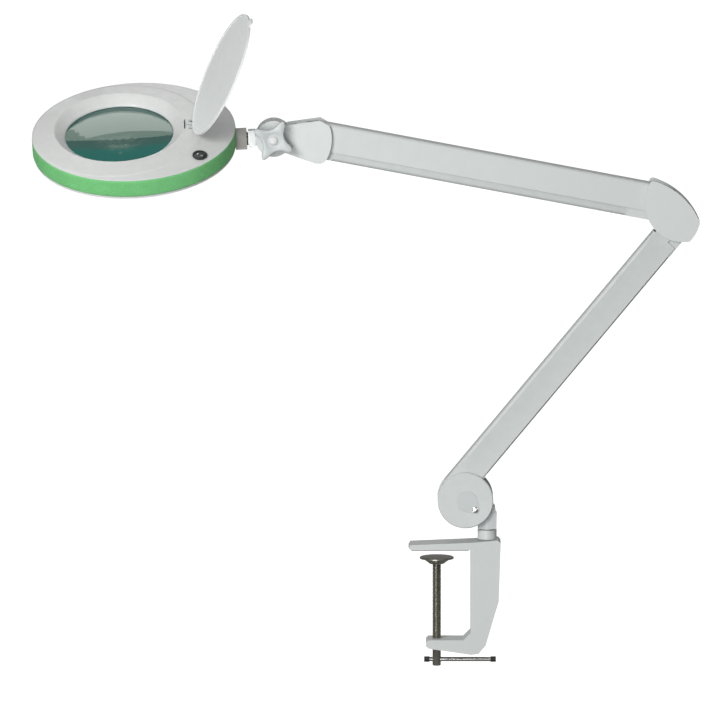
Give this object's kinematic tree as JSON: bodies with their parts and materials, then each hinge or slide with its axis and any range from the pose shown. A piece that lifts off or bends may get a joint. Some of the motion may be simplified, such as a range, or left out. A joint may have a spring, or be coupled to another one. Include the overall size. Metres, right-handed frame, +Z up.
{
  "type": "magnifying lamp",
  "caption": "Table-clamp magnifying lamp: balanced two-arm stand, star-knob wrist, ring-lit round lens head with green grip band and flip-up dust cover.",
  "frame": {"origin": "on the clamp screw axis, on the rubber face of the upper jaw that rests on the table", "axes": "+Z up along the clamp screw, -X from the clamp towards the head, +Y away from the star knob"},
  "size_m": [0.7396, 0.2012, 0.7328],
  "materials": {
    "white_paint": "satin powder coat",
    "white_plastic": "satin",
    "grey_plastic": "satin",
    "light_metal": "satin cast",
    "black_rubber": "matte",
    "black_plastic": "satin",
    "chrome": "polished",
    "steel": "zinc plated",
    "green_grip": "matte, fine texture",
    "lens_glass": "polished",
    "frosted": "frosted",
    "board_white": "satin",
    "led": "gloss",
    "board_green": "satin"
  },
  "bodies": {
    "clamp": {"clamp_frame": "white_paint", "jaw_pad": "white_plastic", "swivel_bush": "white_plastic", "swivel_washer": "black_plastic"},
    "pad": {"clamp_pad": "chrome"},
    "screw": {"clamp_screw": "steel"},
    "bar": {"tommy_bar": "chrome", "tommy_bar_caps": "black_plastic"},
    "base": {"swivel_pin": "steel", "base_bracket": "white_paint", "base_axles": "steel", "base_cover_front": "white_plastic", "base_cover_back": "white_plastic", "cover_screws": "chrome"},
    "lower_arm": {"lower_outer_channel": "white_paint", "lower_spring": "steel", "lower_spring_anchor": "steel"},
    "lower_link": {"lower_inner_channel": "white_paint"},
    "elbow": {"elbow_bracket": "white_paint", "elbow_axles": "steel", "elbow_cover_front": "white_plastic", "elbow_cover_back": "white_plastic", "elbow_cover_screws": "chrome"},
    "upper_arm": {"upper_outer_channel": "white_paint", "upper_spring": "steel", "upper_spring_anchor": "steel"},
    "upper_link": {"upper_inner_channel": "white_paint"},
    "wrist": {"wrist_bracket": "white_paint", "wrist_axles": "steel", "wrist_cover_front": "white_plastic", "wrist_cover_back": "white_plastic", "wrist_cover_screws": "chrome", "tilt_bolt": "chrome", "friction_washers": "black_plastic"},
    "knob": {"star_knob": "white_plastic", "knob_button": "white_plastic"},
    "yoke": {"head_yoke": "light_metal", "neck_pin": "steel", "neck_washer": "black_plastic"},
    "head": {"neck_block": "grey_plastic", "top_cover": "white_plastic", "grip_band": "green_grip", "bottom_cover": "white_plastic", "head_screws": "chrome", "lens": "lens_glass", "lens_ring": "white_plastic", "diffuser": "frosted", "led_board": "board_white", "leds": "led", "driver_board": "board_green", "switch_bezel": "black_plastic", "hinge_bracket": "white_plastic", "hinge_pin": "steel"},
    "rocker": {"rocker": "black_plastic"},
    "cover": {"dust_cover": "white_plastic", "cover_arms": "white_plastic"}
  },
  "joints": [
    {"name": "screw_turn", "type": "hinge", "parent": "pad", "child": "screw", "pos_m": [0, 0, -0.06], "axis": [0, 0, 1], "range_deg": [-16860, 900]},
    {"name": "pad_lift", "type": "slide", "parent": "clamp", "child": "pad", "axis": [0, 0, 1], "range_m": [-0.07, 0.0035]},
    {"name": "bar_slide", "type": "slide", "parent": "screw", "child": "bar", "axis": [1, 0, 0], "range_m": [-0.0545, 0.0025]},
    {"name": "base_swivel", "type": "hinge", "parent": "clamp", "child": "base", "pos_m": [0.056, 0, 0.02], "axis": [0, 0, 1], "continuous": true},
    {"name": "lower_arm_lift", "type": "hinge", "parent": "base", "child": "lower_arm", "pos_m": [0.01575, 0, 0.07019], "axis": [0, -1, 0], "range_deg": [-18, 47], "deforming": ["lower_spring"]},
    {"name": "lower_link_lift", "type": "hinge", "parent": "base", "child": "lower_link", "pos_m": [0.0273, 0, 0.06063], "axis": [0, -1, 0], "range_deg": [-18, 47]},
    {"name": "elbow_level", "type": "hinge", "parent": "lower_arm", "child": "elbow", "pos_m": [0.26498, 0, 0.37146], "axis": [0, -1, 0], "range_deg": [-47, 18]},
    {"name": "upper_arm_drop", "type": "hinge", "parent": "elbow", "child": "upper_arm", "pos_m": [0.24992, 0, 0.39332], "axis": [0, -1, 0], "range_deg": [-45, 22], "deforming": ["upper_spring"]},
    {"name": "upper_link_drop", "type": "hinge", "parent": "elbow", "child": "upper_link", "pos_m": [0.24661, 0, 0.37562], "axis": [0, -1, 0], "range_deg": [-45, 22]},
    {"name": "wrist_level", "type": "hinge", "parent": "upper_arm", "child": "wrist", "pos_m": [-0.14915, 0, 0.468], "axis": [0, -1, 0], "range_deg": [-22, 45]},
    {"name": "head_tilt", "type": "hinge", "parent": "wrist", "child": "yoke", "pos_m": [-0.181, 0, 0.4617], "axis": [0, -1, 0], "range_deg": [-10, 70]},
    {"name": "star_knob_turn", "type": "hinge", "parent": "wrist", "child": "knob", "pos_m": [-0.181, 0, 0.4617], "axis": [0, -1, 0], "range_deg": [-180, 180]},
    {"name": "head_roll", "type": "hinge", "parent": "yoke", "child": "head", "pos_m": [-0.21633, 0, 0.45988], "axis": [0.9986, 0, 0.0523], "range_deg": [-80, 60]},
    {"name": "dust_cover_hinge", "type": "hinge", "parent": "head", "child": "cover", "pos_m": [-0.27622, -0.00866, 0.47535], "axis": [-0.0221, 0.9063, 0.422], "range_deg": [-118.6, 0]},
    {"name": "switch_rocker", "type": "hinge", "parent": "head", "child": "rocker", "pos_m": [-0.2618, -0.06277, 0.44786], "axis": [0.6557, 0.6703, 0.3474], "range_deg": [0, 14]}
  ],
  "couplings": [
    {"joint": "screw_turn", "follows": "pad_lift", "rad_per_m": 4188.8},
    {"joint": "lower_link_lift", "follows": "lower_arm_lift", "ratio": 1},
    {"joint": "elbow_level", "follows": "lower_arm_lift", "ratio": -1},
    {"joint": "upper_link_drop", "follows": "upper_arm_drop", "ratio": 1},
    {"joint": "wrist_level", "follows": "upper_arm_drop", "ratio": -1}
  ]
}
